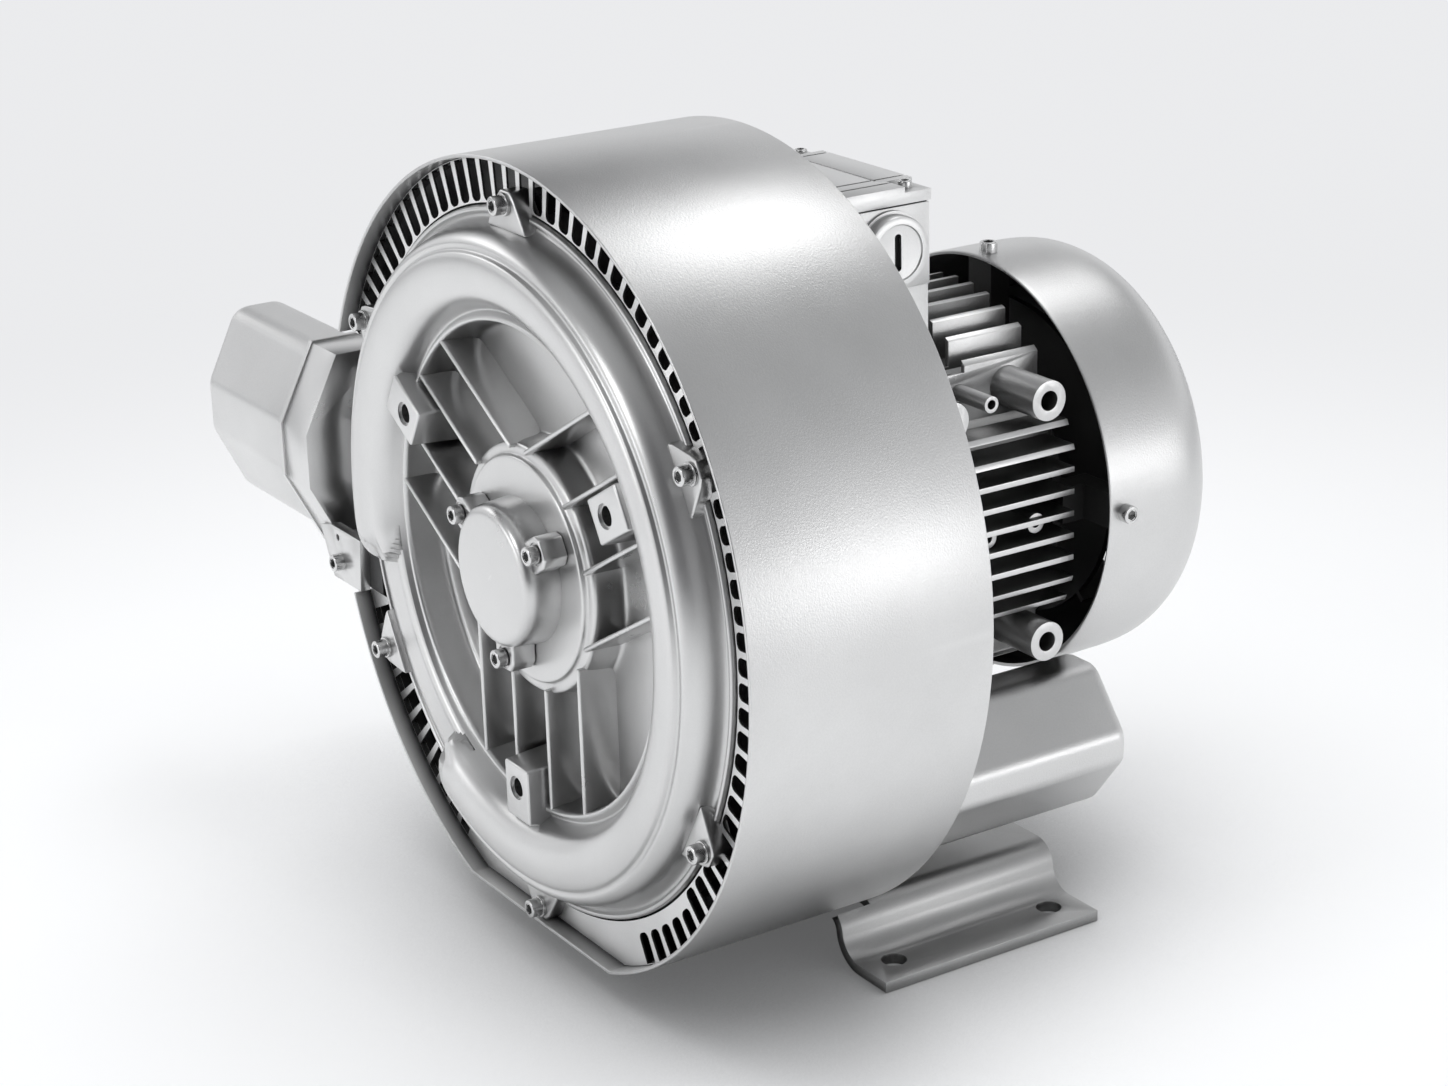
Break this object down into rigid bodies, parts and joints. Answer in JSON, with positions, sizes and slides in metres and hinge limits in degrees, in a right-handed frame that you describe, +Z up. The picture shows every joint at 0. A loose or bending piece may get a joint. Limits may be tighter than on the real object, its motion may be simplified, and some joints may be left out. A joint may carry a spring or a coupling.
{
  "type": "side channel blower",
  "caption": "Side channel blower: ribbed round front cover in a deep sheet shroud, finned motor with terminal box, boxy inlet and outlet silencers and a bent foot.",
  "frame": {"origin": "centre of the four foot holes on the floor plane", "axes": "+Z up, +Y along the shaft towards the motor's fan cowl, +X towards the side of the blanking plug, away from the inlet silencer"},
  "size_m": [0.591, 0.394, 0.4379],
  "materials": {
    "shroud": "satin",
    "ring": "satin",
    "casting": "satin",
    "cap": "satin",
    "dark_casting": "satin",
    "silencer": "satin",
    "foam": "matte",
    "screw": "polished",
    "washer": "satin",
    "frame": "satin",
    "lamination": "matte",
    "winding": "satin",
    "cowl": "satin",
    "box": "satin",
    "gasket": "matte",
    "block": "matte",
    "plug": "satin",
    "gland": "matte",
    "foot": "satin",
    "shaft": "polished",
    "impeller": "satin",
    "bearing": "polished",
    "cage": "satin",
    "seal": "matte",
    "fan": "matte"
  },
  "bodies": {
    "housing": {"shroud": "shroud", "guard_ring": "ring", "front_cover": "casting", "bearing_cap": "cap", "centre_casing": "dark_casting", "rear_casing": "dark_casting", "cover_screws": "screw", "cover_washers": "washer", "cap_screws": "screw", "casing_screws": "screw", "motor_flange": "frame", "flange_screws": "screw", "motor_frame": "frame", "stator_core": "lamination", "stator_windings": "winding", "end_shield": "frame", "fan_cowl": "cowl", "cowl_screws": "screw", "terminal_base": "box", "terminal_gasket": "gasket", "terminal_lid": "box", "lid_screws": "screw", "terminal_block": "block", "blanking_plug": "plug", "cable_gland": "gland", "inlet_collar": "casting", "inlet_silencer": "silencer", "inlet_foam": "foam", "outlet_collar": "casting", "outlet_silencer": "silencer", "outlet_foam": "foam", "port_screws": "screw", "foot_bracket": "foot", "foot_riser": "foot", "riser_screws": "screw", "stage_seal": "seal", "rear_seal": "seal", "front_bearing_outer_ring": "bearing", "drive_bearing_outer_ring": "bearing", "rear_bearing_outer_ring": "bearing"},
    "rotor": {"shaft": "shaft", "impeller_front": "impeller", "impeller_rear": "impeller", "impeller_keys": "shaft", "front_sleeve": "shaft", "stage_sleeve": "shaft", "rear_sleeve": "shaft", "front_circlip": "shaft", "rotor_core": "lamination", "cooling_fan": "fan", "fan_clip": "shaft", "front_bearing_inner_ring": "bearing", "drive_bearing_inner_ring": "bearing", "rear_bearing_inner_ring": "bearing"},
    "front_ball_set": {"front_bearing_cage": "cage", "front_bearing_balls": "bearing"},
    "drive_ball_set": {"drive_bearing_cage": "cage", "drive_bearing_balls": "bearing"},
    "rear_ball_set": {"rear_bearing_cage": "cage", "rear_bearing_balls": "bearing"}
  },
  "joints": [
    {"name": "rotor_spin", "type": "hinge", "parent": "housing", "child": "rotor", "pos_m": [0, 0, 0.222], "axis": [0, 1, 0], "continuous": true},
    {"name": "front_balls_spin", "type": "hinge", "parent": "housing", "child": "front_ball_set", "pos_m": [0, 0, 0.222], "axis": [0, 1, 0], "continuous": true},
    {"name": "drive_balls_spin", "type": "hinge", "parent": "housing", "child": "drive_ball_set", "pos_m": [0, 0, 0.222], "axis": [0, 1, 0], "continuous": true},
    {"name": "rear_balls_spin", "type": "hinge", "parent": "housing", "child": "rear_ball_set", "pos_m": [0, 0, 0.222], "axis": [0, 1, 0], "continuous": true}
  ],
  "couplings": [
    {"joint": "front_balls_spin", "follows": "rotor_spin", "ratio": 0.3965},
    {"joint": "drive_balls_spin", "follows": "rotor_spin", "ratio": 0.4008},
    {"joint": "rear_balls_spin", "follows": "rotor_spin", "ratio": 0.3965}
  ]
}
